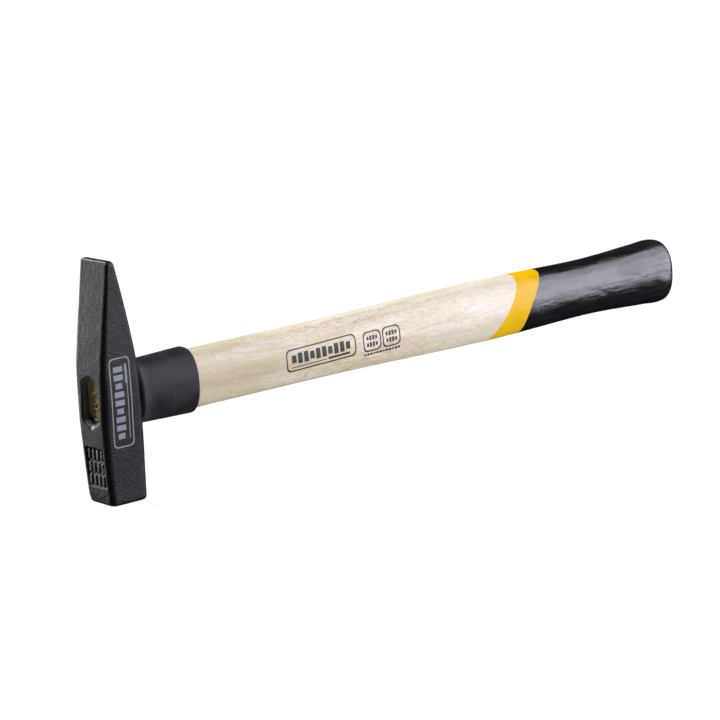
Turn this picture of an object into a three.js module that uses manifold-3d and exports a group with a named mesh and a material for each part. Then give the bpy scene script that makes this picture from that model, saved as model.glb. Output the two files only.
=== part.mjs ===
// A light cross-pein fitter's hammer: forged head, ash handle, protective sleeve,
// two ring wedges and the resin that seals the eye. Millimetres, +Z up.
// The origin is on the striking face, in the head's middle planes. +X runs along the
// handle to its butt.
import * as THREE from 'three';
import { mergeVertices } from 'three/addons/utils/BufferGeometryUtils.js';
import Module from 'manifold-3d';

const wasm = await Module();
wasm.setup();

// ---- Driving dimensions -------------------------------------------------------------

// Head. Depth is along the handle (X), width is cheek to cheek (Y), height is Z.
const headLength = 82;
const faceDepth = 14.5;
const faceWidth = 14.7;
const bodyDepth = 16.2;
const bodyWidth = 16.7;
const peinThickness = 2.8;
const peinWidth = 15.6;
const bodyMiddle = 28; // height at which the body is deepest
const cheekLow = 36; // the cheeks are flat and parallel from here
const cheekHigh = 46; // to here
const wedgeStart = 44; // the cross pein's wedge begins here
const wedgeBelly = 1.17; // 1 is a straight wedge, more is a fuller one
const wedgeSet = 0.4; // the wedge starts this far inside the body's depth
const wedgeBlend = 0.6; // size of the blend between body and wedge
const cheekBelly = 1.6; // the same for the cheeks below the eye
const peinLean = 0.5; // the pein's edge leans forward by this much
const faceLean = 0.36; // the striking end leans back by this much
const faceCornerRadius = 1.9;
const bodyCornerRadius = 2.2;
const peinCornerRadius = 0.9;
const faceBevelHeight = 1.2;
const faceBevelInset = 0.9;
const peinEdgeHeight = 1.4;
const peinEdgeInset = 0.5;
const peinEndInset = 1.5;

// Eye, the slot through the head that the handle is wedged into.
const eyeHeight = 35.4; // height of its centre, and of the handle's axis
const eyeLength = 17.0;
const eyeWidth = 8.4;
const eyeEndRise = 2.6; // how far each end of the slot rises to its point
const eyeCornerRadius = 1.2;
const mouthFlare = 0.5; // how much the slot widens at its mouths, on each side
const mouthDepth = 1.1;

// Recessed mark panel in the front of the head, with plain raised pads.
const panelBottom = 5.4;
const panelHeight = 13.8;
const panelWidth = 10.2;
const panelDepth = 0.8;
const padRise = 0.5;
const padRows = 3;
const padColumns = 4;
const padFill = 0.62; // share of its cell that a pad takes up
const padRoot = 0.5; // the pads start this far under the panel's floor

// Handle, from the recessed end of its tenon to its butt.
const handleReach = 254; // the butt is this far from the head's middle
const tenonRecess = 3.4; // the tenon ends this far inside the eye's front mouth
const sectionPower = 2.3; // 2 is an ellipse, more is squarer
const shoulderLength = 5; // the neck swells from the tenon over this length
const buttBevelLength = 2.6;
const buttBevelInset = 2.0;

// Protective sleeve around the neck, tight against the back of the head.
const sleeveLength = 23.1;
const sleeveRootWall = 1.2;
const sleeveRimWall = 0.85;
const sleeveRimRadius = 0.5;

// Half-heights and half-widths of the grip. The stretches between are smooth. The waist
// and the swell are where the hand holds, so they are placed from the butt.
const waistFromButt = 42;
const swellFromButt = 89;
const neckRoot = { halfHeight: eyeLength / 2 + 0.8, halfWidth: eyeWidth / 2 + 2.3 };
const neck = { halfHeight: 10.3, halfWidth: 7.3 }; // at the sleeve's rim
const shank = { x: 85, halfHeight: 10.2, halfWidth: 8.3 };
const swell = { x: handleReach - swellFromButt, halfHeight: 11.25, halfWidth: 9.1 };
const waist = { x: handleReach - waistFromButt, halfHeight: 10.35, halfWidth: 8.9 };
const knob = { x: handleReach, halfHeight: 11.85, halfWidth: 9.5 };

// Ring wedges, driven side by side into the end of the tenon.
const ringRadius = 2.2;
const ringWall = 0.55;
const ringLength = 9;
const ringTaper = 0.2; // the driven edge is thinner by this much
const ringApart = 0.9; // wood left between the two rings
const ringDrop = 2.2; // the pair sits this far below the middle of the eye
const ringStandOut = 1.3; // the rings stand out of the wood by this much

// Resin over the end grain.
const resinThickness = 0.8;

// Clearances.
const fitGap = 0.3; // between any two pieces that touch

// Steps in curved stretches.
const cornerSteps = 4;
const bevelSteps = 3;
const headSteps = 14;
const gripSteps = 26;
const boreSteps = 4;
const gripSegments = 32;
const roundSegments = 24;

// ---- Small helpers ------------------------------------------------------------------

const mix = (a, b, t) => a + (b - a) * t;
const clamp01 = (t) => Math.min(1, Math.max(0, t));
const smooth = (t) => t * t * (3 - 2 * t);
const range = (count) => Array.from({ length: count }, (_, i) => i);

// The smaller of two values, with a rounded corner where they cross.
function softMin(a, b, blend) {
  const t = clamp01(0.5 + (0.5 * (b - a)) / blend);
  return mix(b, a, t) - blend * t * (1 - t);
}

// Quarter of an ellipse as [share of the inset, share of the height] pairs, edge first.
function bevelPairs() {
  return range(bevelSteps + 1).map((i) => {
    const angle = ((i / bevelSteps) * Math.PI) / 2;
    return [1 - Math.sin(angle), 1 - Math.cos(angle)];
  });
}

// A closed skin through loops that all have the same number of points.
function loft(loops) {
  const count = loops[0].length;
  const positions = loops.flat().flatMap((p) => [p.x, p.y, p.z]);
  const index = [];
  for (let row = 0; row + 1 < loops.length; row += 1) {
    for (let i = 0; i < count; i += 1) {
      const a = row * count + i;
      const b = row * count + ((i + 1) % count);
      index.push(a, b, b + count, a, b + count, a + count);
    }
  }
  const addCap = (loop, first, reversed) => {
    const middle = new THREE.Vector3();
    loop.forEach((p) => middle.addScaledVector(p, 1 / count));
    const hub = positions.length / 3;
    positions.push(middle.x, middle.y, middle.z);
    for (let i = 0; i < count; i += 1) {
      const a = first + i;
      const b = first + ((i + 1) % count);
      index.push(hub, reversed ? b : a, reversed ? a : b);
    }
  };
  addCap(loops[0], 0, true);
  addCap(loops.at(-1), (loops.length - 1) * count, false);
  const geometry = new THREE.BufferGeometry();
  geometry.setAttribute('position', new THREE.Float32BufferAttribute(positions, 3));
  geometry.setIndex(index);
  return geometry;
}

// Turns a three.js geometry into a solid, and a solid back into a geometry.
function toSolid(geometry) {
  const bare = geometry.clone();
  bare.deleteAttribute('normal');
  bare.deleteAttribute('uv');
  const merged = mergeVertices(bare, 1e-5);
  return new wasm.Manifold(new wasm.Mesh({
    numProp: 3,
    vertProperties: new Float32Array(merged.getAttribute('position').array),
    triVerts: new Uint32Array(merged.getIndex().array),
  }));
}

function toGeometry(solid) {
  const mesh = solid.getMesh();
  const geometry = new THREE.BufferGeometry();
  geometry.setAttribute('position', new THREE.BufferAttribute(mesh.vertProperties, 3));
  geometry.setIndex(new THREE.BufferAttribute(mesh.triVerts, 1));
  geometry.computeVertexNormals();
  return geometry;
}

// ---- Outlines -----------------------------------------------------------------------

// Rounded rectangle in X and Y, anticlockwise seen from above.
function headLoop(z, centreX, halfDepth, halfWidth, radius) {
  const loop = [];
  range(4).forEach((corner) => {
    const signX = corner === 0 || corner === 3 ? 1 : -1;
    const signY = corner < 2 ? 1 : -1;
    range(cornerSteps + 1).forEach((step) => {
      const angle = ((corner + step / cornerSteps) * Math.PI) / 2;
      loop.push(new THREE.Vector3(
        centreX + signX * (halfDepth - radius) + radius * Math.cos(angle),
        signY * (halfWidth - radius) + radius * Math.sin(angle),
        z,
      ));
    });
  });
  return loop;
}

// Superellipse across the handle, at a place along X.
function gripLoop(x, halfHeight, halfWidth) {
  const bulge = (value) => Math.sign(value) * Math.abs(value) ** (2 / sectionPower);
  return range(gripSegments).map((i) => {
    const angle = (i / gripSegments) * 2 * Math.PI;
    return new THREE.Vector3(
      x,
      halfWidth * bulge(Math.cos(angle)),
      eyeHeight + halfHeight * bulge(Math.sin(angle)),
    );
  });
}

// The eye's slot: straight sides, and ends that rise to a blunt point.
function slotShape(offset) {
  const halfLength = eyeLength / 2 + offset;
  const halfWidth = eyeWidth / 2 + offset;
  const corners = [
    new THREE.Vector2(halfWidth, -halfLength + eyeEndRise),
    new THREE.Vector2(halfWidth, halfLength - eyeEndRise),
    new THREE.Vector2(0, halfLength),
    new THREE.Vector2(-halfWidth, halfLength - eyeEndRise),
    new THREE.Vector2(-halfWidth, -halfLength + eyeEndRise),
    new THREE.Vector2(0, -halfLength),
  ];
  const shape = new THREE.Shape();
  corners.forEach((corner, i) => {
    const before = corners.at(i - 1);
    const after = corners[(i + 1) % corners.length];
    const entry = before.clone().sub(corner).setLength(eyeCornerRadius).add(corner);
    const exit = after.clone().sub(corner).setLength(eyeCornerRadius).add(corner);
    if (i === 0) shape.moveTo(entry.x, entry.y);
    else shape.lineTo(entry.x, entry.y);
    shape.quadraticCurveTo(corner.x, corner.y, exit.x, exit.y);
  });
  shape.closePath();
  return shape;
}

// The slot as a loop of points at a place along X.
function slotLoop(x, offset) {
  const points = slotShape(offset).getPoints(cornerSteps);
  if (points[0].distanceTo(points.at(-1)) < 1e-6) points.pop();
  return points.map((p) => new THREE.Vector3(x, p.x, eyeHeight + p.y));
}

// ---- Head ---------------------------------------------------------------------------

function headHalfDepth(z) {
  const crown = (bodyDepth - faceDepth) / 2;
  const body = bodyDepth / 2 - crown * ((z - bodyMiddle) / bodyMiddle) ** 2;
  const along = clamp01((z - wedgeStart) / (headLength - wedgeStart));
  const wedgeFoot = bodyDepth / 2 - wedgeSet;
  const wedge = mix(wedgeFoot, peinThickness / 2, along ** wedgeBelly);
  const share = smooth(clamp01((z - bodyMiddle) / (wedgeStart - bodyMiddle)));
  return mix(body, softMin(body, wedge, wedgeBlend), share);
}

function headHalfWidth(z) {
  if (z < cheekLow) return mix(faceWidth, bodyWidth, (z / cheekLow) ** cheekBelly) / 2;
  const along = clamp01((z - cheekHigh) / (headLength - cheekHigh));
  return mix(bodyWidth, peinWidth, along) / 2;
}

function headCentreX(z) {
  const along = clamp01((z - wedgeStart) / (headLength - wedgeStart));
  const below = clamp01(1 - z / bodyMiddle);
  return faceLean * below - peinLean * along ** 3;
}

function headCornerRadius(z) {
  if (z < eyeHeight) return mix(faceCornerRadius, bodyCornerRadius, z / eyeHeight);
  const along = (z - eyeHeight) / (headLength - eyeHeight);
  return mix(bodyCornerRadius, peinCornerRadius, along);
}

function headBlank(grow) {
  const section = (z, insetX, insetY) => {
    const halfDepth = headHalfDepth(z) - insetX + grow;
    const halfWidth = headHalfWidth(z) - insetY + grow;
    const radius = Math.min(headCornerRadius(z), 0.9 * halfDepth);
    return headLoop(z, headCentreX(z), halfDepth, halfWidth, radius);
  };
  const loops = bevelPairs().map(([inset, height]) => (
    section(faceBevelHeight * height, faceBevelInset * inset, faceBevelInset * inset)));
  const wallHeight = headLength - peinEdgeHeight - faceBevelHeight;
  const levels = range(headSteps - 1).map((i) => (
    faceBevelHeight + (wallHeight * (i + 1)) / headSteps));
  [...levels, cheekLow, cheekHigh].sort((a, b) => a - b).forEach((z) => {
    loops.push(section(z, 0, 0));
  });
  bevelPairs().reverse().forEach(([inset, height]) => {
    const z = headLength - peinEdgeHeight * height;
    loops.push(section(z, peinEdgeInset * inset, peinEndInset * inset));
  });
  return toSolid(loft(loops));
}

// The eye runs right through and flares at both mouths.
function eyeCutter() {
  const front = headHalfDepth(eyeHeight);
  const beyond = 2;
  const flareAtBeyond = mouthFlare * (1 + beyond / mouthDepth);
  return toSolid(loft([
    slotLoop(-front - beyond, flareAtBeyond),
    slotLoop(-front + mouthDepth, 0),
    slotLoop(front - mouthDepth, 0),
    slotLoop(front + beyond, flareAtBeyond),
  ]));
}

function boxSolid(sizeX, sizeY, sizeZ, x, y, z) {
  return toSolid(new THREE.BoxGeometry(sizeX, sizeY, sizeZ).translate(x, y, z));
}

// The panel's floor follows the middle of its stretch of the front face.
function panelFloorX() {
  return -headHalfDepth(panelBottom + panelHeight / 2) + panelDepth;
}

function panelCutter() {
  const reach = panelDepth + 2;
  const middleZ = panelBottom + panelHeight / 2;
  return boxSolid(reach, panelWidth, panelHeight, panelFloorX() - reach / 2, 0, middleZ);
}

function panelPads() {
  const cellWidth = panelWidth / padColumns;
  const cellHeight = panelHeight / padRows;
  const pads = [];
  range(padRows).forEach((row) => {
    range(padColumns).forEach((column) => {
      pads.push(boxSolid(
        padRise + padRoot,
        cellWidth * padFill,
        cellHeight * padFill,
        panelFloorX() - (padRise - padRoot) / 2,
        cellWidth * (column - (padColumns - 1) / 2),
        panelBottom + cellHeight * (row + 0.5),
      ));
    });
  });
  return pads;
}

function hammerHead() {
  let solid = headBlank(0).subtract(eyeCutter()).subtract(panelCutter());
  panelPads().forEach((pad) => {
    solid = solid.add(pad);
  });
  return toGeometry(solid);
}

// ---- Handle -------------------------------------------------------------------------

// Where the pieces in the eye begin, and where the neck can begin behind the head.
const tenonEndX = -headHalfDepth(eyeHeight) + tenonRecess;
const headBackX = bodyDepth / 2;
const neckStartX = headBackX + fitGap;
const neckRootX = neckStartX + shoulderLength;
const sleeveEndX = neckStartX + sleeveLength;

// Half-height and half-width of the grip at a place along X.
function gripSize(x) {
  const root = { x: neckRootX, ...neckRoot };
  const rim = { x: sleeveEndX, ...neck };
  const stations = [root, rim, shank, swell, waist, knob];
  const next = stations.findIndex((station) => station.x >= x);
  if (next <= 0) return stations.at(next);
  const [a, b] = [stations[next - 1], stations[next]];
  const t = smooth((x - a.x) / (b.x - a.x));
  return {
    halfHeight: mix(a.halfHeight, b.halfHeight, t),
    halfWidth: mix(a.halfWidth, b.halfWidth, t),
  };
}

function gripSolid() {
  const tenonHalfHeight = eyeLength / 2 - eyeEndRise / 2;
  const tenonHalfWidth = eyeWidth / 2 - fitGap;
  const loops = [gripLoop(neckStartX, tenonHalfHeight, tenonHalfWidth)];
  const wallEnd = handleReach - buttBevelLength;
  range(gripSteps).forEach((i) => {
    const x = mix(neckRootX, wallEnd, i / gripSteps);
    const size = gripSize(x);
    loops.push(gripLoop(x, size.halfHeight, size.halfWidth));
  });
  bevelPairs().reverse().forEach(([inset, height]) => {
    const x = handleReach - buttBevelLength * height;
    const size = gripSize(x);
    const taken = buttBevelInset * inset;
    loops.push(gripLoop(x, size.halfHeight - taken, size.halfWidth - taken));
  });
  return toSolid(loft(loops));
}

function tenonSolid() {
  const depth = neckStartX + 1 - tenonEndX;
  const loops = [slotLoop(tenonEndX, -fitGap), slotLoop(tenonEndX + depth, -fitGap)];
  return toSolid(loft(loops));
}

// Heights of the two ring wedges' axes.
const ringOffset = ringRadius + ringApart / 2;
const ringMiddle = eyeHeight - ringDrop;
const ringHeights = [ringMiddle + ringOffset, ringMiddle - ringOffset];

// A turned piece about an axis along X: profile points are [radius, x].
function turned(profile, height) {
  const points = profile.map(([radius, x]) => new THREE.Vector2(radius, x));
  const geometry = new THREE.LatheGeometry([...points, points[0]], roundSegments);
  geometry.rotateZ(-Math.PI / 2);
  geometry.translate(0, 0, height);
  return geometry;
}

function ringProfile(gap) {
  const outer = tenonEndX - ringStandOut;
  const inner = tenonEndX + ringLength + gap;
  return [
    [ringRadius - ringWall - gap, outer],
    [ringRadius + gap, outer],
    [ringRadius - ringTaper + gap, inner],
    [ringRadius - ringWall - gap, inner],
  ];
}

function handle() {
  let solid = gripSolid().add(tenonSolid());
  ringHeights.forEach((height) => {
    solid = solid.subtract(toSolid(turned(ringProfile(fitGap), height)));
  });
  return toGeometry(solid);
}

function ringWedge(height) {
  return toGeometry(toSolid(turned(ringProfile(0), height)));
}

// ---- Sleeve and resin ---------------------------------------------------------------

function sleeveOuter() {
  const rootHalfHeight = neckRoot.halfHeight + fitGap + sleeveRootWall;
  const rootHalfWidth = neckRoot.halfWidth + fitGap + sleeveRootWall;
  const rimHalfHeight = neck.halfHeight + fitGap + sleeveRimWall;
  const rimHalfWidth = neck.halfWidth + fitGap + sleeveRimWall;
  // The head is shallowest where the top of the sleeve meets it.
  const rootX = headHalfDepth(eyeHeight + rootHalfHeight);
  const loops = [gripLoop(rootX, rootHalfHeight, rootHalfWidth)];
  bevelPairs().reverse().forEach(([inset, height]) => {
    const x = sleeveEndX - sleeveRimRadius * height;
    const taken = sleeveRimRadius * inset;
    loops.push(gripLoop(x, rimHalfHeight - taken, rimHalfWidth - taken));
  });
  return toSolid(loft(loops));
}

// The sleeve's bore follows the neck, from inside the head to past the rim.
function sleeveBore() {
  const bore = (x) => {
    const size = gripSize(x);
    return gripLoop(x, size.halfHeight + fitGap, size.halfWidth + fitGap);
  };
  const loops = [bore(0), bore(neckRootX)];
  const beyond = 1;
  range(boreSteps).forEach((i) => {
    loops.push(bore(mix(neckRootX, sleeveEndX + beyond, (i + 1) / boreSteps)));
  });
  return toSolid(loft(loops));
}

function sleeve() {
  return toGeometry(sleeveOuter().subtract(sleeveBore()).subtract(headBlank(fitGap)));
}

function resinSeal() {
  const back = tenonEndX - fitGap;
  const plate = toSolid(loft([slotLoop(back - resinThickness, -fitGap), slotLoop(back, -fitGap)]));
  const clearance = ringRadius + fitGap;
  const left = back - resinThickness - 1;
  const right = back + 1;
  let solid = plate;
  ringHeights.forEach((height) => {
    const profile = [[0, left], [clearance, left], [clearance, right], [0, right]];
    solid = solid.subtract(toSolid(turned(profile, height)));
  });
  return toGeometry(solid);
}

// ---- Assembly -----------------------------------------------------------------------

const materials = {
  blackPaint: new THREE.MeshStandardMaterial({
    color: 0x34363a, roughness: 0.55, metalness: 0.1,
  }),
  ash: new THREE.MeshStandardMaterial({ color: 0xd9c9a8, roughness: 0.45, metalness: 0 }),
  blackRubber: new THREE.MeshStandardMaterial({
    color: 0x26272c, roughness: 0.6, metalness: 0,
  }),
  steel: new THREE.MeshStandardMaterial({ color: 0x8d8a80, roughness: 0.4, metalness: 0.9 }),
  amberResin: new THREE.MeshStandardMaterial({
    color: 0x9a6a12, roughness: 0.2, metalness: 0,
  }),
};

const group = new THREE.Group();

function addPart(name, geometry, material) {
  const mesh = new THREE.Mesh(geometry, material.clone());
  mesh.name = name;
  group.add(mesh);
}

addPart('hammer_head', hammerHead(), materials.blackPaint);
addPart('handle', handle(), materials.ash);
addPart('protective_sleeve', sleeve(), materials.blackRubber);
addPart('ring_wedge_upper', ringWedge(ringHeights[0]), materials.steel);
addPart('ring_wedge_lower', ringWedge(ringHeights[1]), materials.steel);
addPart('resin_seal', resinSeal(), materials.amberResin);

export default group;
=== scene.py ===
import math

import bmesh
import bpy
import numpy as np
from mathutils import Matrix, Vector, noise
from mathutils.bvhtree import BVHTree


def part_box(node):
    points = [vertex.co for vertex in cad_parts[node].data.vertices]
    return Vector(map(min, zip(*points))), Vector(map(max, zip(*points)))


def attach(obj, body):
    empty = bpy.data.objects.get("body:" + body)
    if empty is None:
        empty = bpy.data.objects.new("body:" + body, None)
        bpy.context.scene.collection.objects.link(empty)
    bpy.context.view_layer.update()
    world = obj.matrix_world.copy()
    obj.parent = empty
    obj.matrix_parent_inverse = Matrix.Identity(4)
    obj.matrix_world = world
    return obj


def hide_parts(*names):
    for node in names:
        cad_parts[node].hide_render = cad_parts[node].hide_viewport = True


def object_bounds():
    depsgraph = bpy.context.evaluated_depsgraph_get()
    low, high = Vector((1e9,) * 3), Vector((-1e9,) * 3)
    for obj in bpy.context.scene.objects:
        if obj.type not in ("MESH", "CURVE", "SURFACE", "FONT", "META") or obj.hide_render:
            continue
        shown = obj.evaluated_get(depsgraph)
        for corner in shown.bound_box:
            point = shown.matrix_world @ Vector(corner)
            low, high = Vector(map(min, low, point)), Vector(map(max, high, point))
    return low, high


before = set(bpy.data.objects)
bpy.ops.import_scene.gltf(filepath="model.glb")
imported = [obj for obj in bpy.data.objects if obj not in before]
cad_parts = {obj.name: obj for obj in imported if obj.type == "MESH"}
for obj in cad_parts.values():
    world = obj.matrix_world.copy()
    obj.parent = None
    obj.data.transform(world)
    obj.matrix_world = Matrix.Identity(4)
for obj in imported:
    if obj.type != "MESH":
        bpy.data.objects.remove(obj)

CAD_LOW, CAD_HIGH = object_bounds()
MM = 0.001

# ---- Sizes, from the frame ----------------------------------------------------------------

HEAD_LOW, HEAD_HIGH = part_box("hammer_head")
HANDLE_LOW, HANDLE_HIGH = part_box("handle")
SLEEVE_LOW, SLEEVE_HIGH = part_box("protective_sleeve")
RESIN_LOW, RESIN_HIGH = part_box("resin_seal")

HEAD_LENGTH = HEAD_HIGH.z
BODY_DEPTH = -2 * HEAD_LOW.x
BODY_WIDTH = 2 * HEAD_HIGH.y
AXIS_Z = (HANDLE_LOW.z + HANDLE_HIGH.z) / 2  # height of the handle's axis
BUTT_X = HANDLE_HIGH.x
TENON_X = HANDLE_LOW.x
SLEEVE_END_X = SLEEVE_HIGH.x

# The head's own shape, as its CAD solid has it.
FACE_DEPTH = 14.5 * MM
FACE_WIDTH = 14.7 * MM
PEIN_THICKNESS = 2.8 * MM
PEIN_WIDTH = 15.6 * MM
BODY_MIDDLE = 28 * MM
CHEEK_LOW = 36 * MM
CHEEK_HIGH = 46 * MM
WEDGE_START = 44 * MM
WEDGE_SET = 0.4 * MM
WEDGE_BELLY = 1.17
WEDGE_BLEND = 0.6 * MM
CHEEK_BELLY = 1.6
PEIN_LEAN = 0.5 * MM
FACE_LEAN = 0.36 * MM
FACE_CORNER = 1.9 * MM
BODY_CORNER = 2.2 * MM
PEIN_CORNER = 0.9 * MM
FACE_BEVEL = (0.9 * MM, 1.2 * MM)  # inset, height
PEIN_EDGE_INSET = 0.5 * MM
PEIN_END_INSET = 1.5 * MM
PEIN_EDGE_HEIGHT = 1.4 * MM
WORN_CORNER = (0.3 * MM, 3.6 * MM)  # how far the face's worn corner is set in, and how high up

EYE_LENGTH = 17.0 * MM
EYE_WIDTH = 8.4 * MM
EYE_END_RISE = 2.6 * MM
EYE_CORNER = 1.2 * MM
MOUTH_FLARE = 0.5 * MM
MOUTH_DEPTH = 1.1 * MM
MOUTH_DROP = 0.7 * MM  # the front mouth's lower end is worn down by this much

PANEL_BOTTOM = 5.4 * MM
PANEL_HEIGHT = 13.8 * MM
PANEL_WIDTH = 10.2 * MM
PANEL_DEPTH = 0.75 * MM
PANEL_WALLS = (1.1 * MM, 0.3 * MM, 0.4 * MM, 0.3 * MM)  # lean: bottom, top, +Y, -Y
PAD_RISE = 0.36 * MM
PAD_EDGE = 0.45 * MM
PAD_ROWS, PAD_COLUMNS = 3, 4
PAD_FIELD = (9.4 * MM, 13.2 * MM)  # width and height shared out among the pads

FIT_GAP = 0.3 * MM
SECTION_POWER = 2.3
SHOULDER_X = BODY_DEPTH / 2 + FIT_GAP + 5 * MM  # the neck has its full section from here

# Paint on the handle: where each edge crosses the axis, how far it leans along the handle
# for each step up, and how that lean changes with height.
BAND_START = (170.4 * MM, 0.752, -0.006 / MM)
DIP_START = (181.3 * MM, 0.579, 0.0222 / MM)
COAT_THICKNESS = {"wood": -0.16 * MM, "yellow": -0.12 * MM, "black": -0.06 * MM}
BUTT_BEVEL = (2.6 * MM, 2.0 * MM)  # length, inset

NECK_GROWTH = (0.8 * MM, 2.3 * MM)  # how much higher and wider the neck's root is than the eye
SLEEVE_WALL = 1.2 * MM
SLEEVE_LAP = 1.4 * MM  # how far the skin's inside is from its outside at the root
SLEEVE_RIM_ROUND = 0.75 * MM
SLEEVE_ROOT_ROUND = 1.6 * MM
RING_WALL = 0.55 * MM
RESIN_ROWS = 22

# Prints: middle, then sizes of frames and rows. The film is how far ink stands off its ground.
INK_FILM = 0.03 * MM
PRINT_SPACING = 0.6 * MM  # the mesh of a print is no coarser than this
CHEEK_PRINT_MIDDLE = (34.8 * MM, -0.7 * MM)  # height, depth
HANDLE_PRINT_MIDDLE = (83.7 * MM, 0.2 * MM)  # along the handle, over its axis
HANDLE_PRINT_TILT = math.radians(1.6)
SMALL_FRAMES = (22.8 * MM, 31.5 * MM)  # their middles, along from the print's middle
MARK_ROWS = (0.8 * MM, -1.6 * MM)  # heights of the two rows of blocks in a small frame

# Stage and camera. Angles are in degrees.
LIGHT_DISTANCE = 3.0
LIGHT_AIM = (0.10, 0, 0.035)
FLOOR_REACH = 12.0
CAMERA_AIM = (0.1071, 0, 0.0278)
CAMERA_TURN = (-38.53, 12.27, -3.80)  # azimuth from straight on to -Y, elevation, roll
CAMERA_DISTANCE = 1.160
CAMERA_LENS = 164.9  # for a sensor 36 wide, both in millimetres


# ---- Helpers --------------------------------------------------------------------------------

def mix(a, b, t):
    return a + (b - a) * t


def clamp01(t):
    return min(1.0, max(0.0, t))


def smooth(t):
    t = clamp01(t)
    return t * t * (3 - 2 * t)


def soft_min(a, b, blend):
    t = clamp01(0.5 + 0.5 * (b - a) / blend)
    return mix(b, a, t) - blend * t * (1 - t)


def bevel_pairs(steps):
    """Shares of a bevel's inset and height along a quarter ellipse, from its edge inwards."""
    pairs = []
    for i in range(steps + 1):
        angle = i / steps * math.pi / 2
        pairs.append((1 - math.sin(angle), 1 - math.cos(angle)))
    return pairs


def new_object(name, verts, faces):
    mesh = bpy.data.meshes.new(name)
    mesh.from_pydata([tuple(v) for v in verts], [], faces)
    mesh.validate()
    mesh.update()
    obj = bpy.data.objects.new(name, mesh)
    bpy.context.scene.collection.objects.link(obj)
    return obj


def loft(name, loops):
    """A closed skin through loops that all have the same number of points."""
    count = len(loops[0])
    verts = [p for loop in loops for p in loop]
    faces = []
    for row in range(len(loops) - 1):
        for i in range(count):
            a = row * count + i
            b = row * count + (i + 1) % count
            faces.append((a, b, b + count, a + count))
    faces.append(tuple(reversed(range(count))))
    last = (len(loops) - 1) * count
    faces.append(tuple(range(last, last + count)))
    return new_object(name, verts, faces)


def baked(obj):
    """Applies the object's modifiers to its mesh."""
    graph = bpy.context.evaluated_depsgraph_get()
    mesh = bpy.data.meshes.new_from_object(obj.evaluated_get(graph))
    old = obj.data
    obj.modifiers.clear()
    obj.data = mesh
    bpy.data.meshes.remove(old)
    return obj


def boolean(obj, other, operation):
    modifier = obj.modifiers.new("cut", "BOOLEAN")
    modifier.operation = operation
    modifier.solver = "EXACT"
    modifier.object = other
    baked(obj)
    bpy.data.objects.remove(other)
    return obj


def remeshed(obj, voxel, smoothings):
    """An even skin, with its sharp edges eased by this many rounds of smoothing."""
    modifier = obj.modifiers.new("remesh", "REMESH")
    modifier.mode = "VOXEL"
    modifier.voxel_size = voxel
    ease = obj.modifiers.new("ease", "SMOOTH")
    ease.factor = 0.5
    ease.iterations = smoothings
    return baked(obj)


def shade_smooth(obj):
    values = [True] * len(obj.data.polygons)
    obj.data.polygons.foreach_set("use_smooth", values)
    obj.data.update()


def coordinates(obj):
    co = np.empty(len(obj.data.vertices) * 3)
    obj.data.vertices.foreach_get("co", co)
    return co.reshape(-1, 3)


def set_coordinates(obj, co):
    obj.data.vertices.foreach_set("co", np.ascontiguousarray(co).ravel())
    obj.data.update()


def vertex_normals(obj):
    values = np.empty(len(obj.data.vertices) * 3)
    obj.data.vertex_normals.foreach_get("vector", values)
    return values.reshape(-1, 3)


def roughen(obj, waves, seed):
    """Moves each vertex along its normal by a sum of smooth noises: (size, height) pairs."""
    co = coordinates(obj)
    normals = vertex_normals(obj)
    lift = np.zeros(len(co))
    shift = Vector((seed * 7.3, seed * 3.1, seed * 5.7))
    for size, height in waves:
        values = [noise.noise(Vector(p) / size + shift) for p in co]
        lift += np.array(values) * height
    set_coordinates(obj, co + normals * lift[:, None])


def part(obj, replaced=(), material=None):
    """Puts a finished piece on the hammer's one body, inside the box of the CAD model."""
    set_coordinates(obj, np.clip(coordinates(obj), CAD_LOW, CAD_HIGH))
    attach(obj, "root")
    if replaced:
        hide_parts(*replaced)
    if material:
        obj.data.materials.clear()
        obj.data.materials.append(material)
    return obj


# ---- Outlines -------------------------------------------------------------------------------

def head_half_depth(z):
    crown = (BODY_DEPTH - FACE_DEPTH) / 2
    body = BODY_DEPTH / 2 - crown * ((z - BODY_MIDDLE) / BODY_MIDDLE) ** 2
    along = clamp01((z - WEDGE_START) / (HEAD_LENGTH - WEDGE_START))
    wedge = mix(BODY_DEPTH / 2 - WEDGE_SET, PEIN_THICKNESS / 2, along ** WEDGE_BELLY)
    share = smooth((z - BODY_MIDDLE) / (WEDGE_START - BODY_MIDDLE))
    return mix(body, soft_min(body, wedge, WEDGE_BLEND), share)


def head_half_width(z):
    if z < CHEEK_LOW:
        return mix(FACE_WIDTH, BODY_WIDTH, (max(z, 0) / CHEEK_LOW) ** CHEEK_BELLY) / 2
    along = clamp01((z - CHEEK_HIGH) / (HEAD_LENGTH - CHEEK_HIGH))
    return mix(BODY_WIDTH, PEIN_WIDTH, along) / 2


def head_centre(z):
    along = clamp01((z - WEDGE_START) / (HEAD_LENGTH - WEDGE_START))
    return FACE_LEAN * clamp01(1 - z / BODY_MIDDLE) - PEIN_LEAN * along ** 3


def head_corner(z):
    if z < AXIS_Z:
        return mix(FACE_CORNER, BODY_CORNER, z / AXIS_Z)
    return mix(BODY_CORNER, PEIN_CORNER, (z - AXIS_Z) / (HEAD_LENGTH - AXIS_Z))


def rounded_rectangle(z, centre, half_depth, half_width, radius):
    steps = 8
    loop = []
    for corner in range(4):
        sign_x = 1 if corner in (0, 3) else -1
        sign_y = 1 if corner < 2 else -1
        for step in range(steps + 1):
            angle = (corner + step / steps) * math.pi / 2
            loop.append(Vector((
                centre + sign_x * (half_depth - radius) + radius * math.cos(angle),
                sign_y * (half_width - radius) + radius * math.sin(angle),
                z,
            )))
    return loop


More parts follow.
